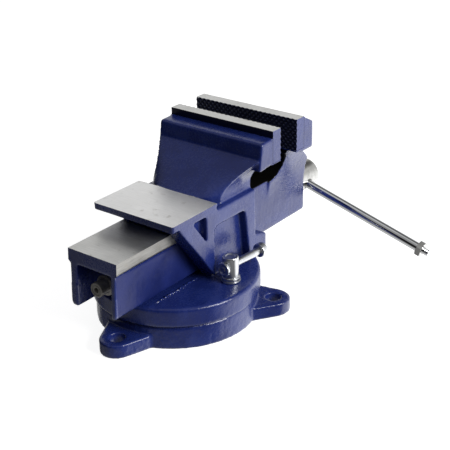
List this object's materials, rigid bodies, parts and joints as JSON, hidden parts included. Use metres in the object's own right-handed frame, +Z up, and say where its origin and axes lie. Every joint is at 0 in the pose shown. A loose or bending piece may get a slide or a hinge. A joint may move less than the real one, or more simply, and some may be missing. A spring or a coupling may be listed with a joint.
{
  "type": "bench vise",
  "caption": "Cast bench vise with a swivel base, a sliding jaw driven by a lead screw, a small anvil behind the fixed jaw and a sliding handle bar.",
  "frame": {"origin": "swivel axis on the underside of the base", "axes": "+Z up, +Y along the lead screw towards the anvil, handle at -Y, +X to the right seen from the handle"},
  "size_m": [0.2148, 0.2772, 0.1405],
  "materials": {
    "blue_casting": "semi-gloss blue enamel over rough cast iron, ground bare on the top faces",
    "jaw_steel": "ground top edge, painted serrated face",
    "dark_steel": "blackened and oiled",
    "zinc_steel": "bright zinc plate",
    "chrome": "polished chrome plate",
    "nut_iron": "bare grey iron, machined"
  },
  "bodies": {
    "base": {"swivel_base": "blue_casting"},
    "body": {"vise_body": "blue_casting", "fixed_jaw_plate": "jaw_steel", "fixed_plate_screw_left": "dark_steel", "fixed_plate_screw_right": "dark_steel", "main_nut": "nut_iron", "nut_bolt": "dark_steel", "nut_bolt_washer": "zinc_steel", "lock_bolt_left": "dark_steel", "lock_bolt_right": "dark_steel", "lock_washer_left": "zinc_steel", "lock_washer_right": "zinc_steel"},
    "jaw": {"moving_jaw": "blue_casting", "moving_jaw_plate": "jaw_steel", "moving_plate_screw_left": "dark_steel", "moving_plate_screw_right": "dark_steel"},
    "spindle": {"lead_screw": "dark_steel", "spindle_head": "chrome", "spindle_head_pin": "dark_steel", "thrust_washer": "zinc_steel", "retaining_spring": "dark_steel", "spring_washer": "zinc_steel", "split_pin": "zinc_steel"},
    "handle": {"handle_bar": "chrome", "handle_nut_far": "chrome", "handle_nut_near": "chrome"},
    "lock_left": {"lock_nut_left": "zinc_steel"},
    "lock_bar_left": {"lock_bar_left": "zinc_steel", "lock_cap_rear_left": "zinc_steel", "lock_cap_front_left": "zinc_steel"},
    "lock_right": {"lock_nut_right": "zinc_steel"},
    "lock_bar_right": {"lock_bar_right": "zinc_steel", "lock_cap_rear_right": "zinc_steel", "lock_cap_front_right": "zinc_steel"}
  },
  "joints": [
    {"name": "swivel", "type": "hinge", "parent": "base", "child": "body", "pos_m": [0, 0, 0.0196], "axis": [0, 0, 1], "continuous": true},
    {"name": "jaw_slide", "type": "slide", "parent": "body", "child": "jaw", "axis": [0, 1, 0], "range_m": [-0.0785, 0.021]},
    {"name": "screw_spin", "type": "hinge", "parent": "jaw", "child": "spindle", "pos_m": [0, -0.12, 0.0545], "axis": [0, 1, 0], "continuous": true},
    {"name": "handle_slide", "type": "slide", "parent": "spindle", "child": "handle", "axis": [0.9632, 0, 0.2689], "range_m": [0, 0.1135]},
    {"name": "lock_turn_left", "type": "hinge", "parent": "body", "child": "lock_left", "pos_m": [-0.0475, -0.008, 0.0378], "axis": [0, 0, 1], "range_deg": [-170, 0]},
    {"name": "lock_bar_slide_left", "type": "slide", "parent": "lock_left", "child": "lock_bar_left", "axis": [0.0732, 0.9973, 0], "range_m": [0, 0.0257]},
    {"name": "lock_turn_right", "type": "hinge", "parent": "body", "child": "lock_right", "pos_m": [0.0475, -0.008, 0.0378], "axis": [0, 0, -1], "range_deg": [-170, 0]},
    {"name": "lock_bar_slide_right", "type": "slide", "parent": "lock_right", "child": "lock_bar_right", "axis": [-0.0732, 0.9973, 0], "range_m": [0, 0.0257]}
  ],
  "couplings": [
    {"joint": "screw_spin", "follows": "jaw_slide", "rad_per_m": 1256.6}
  ]
}
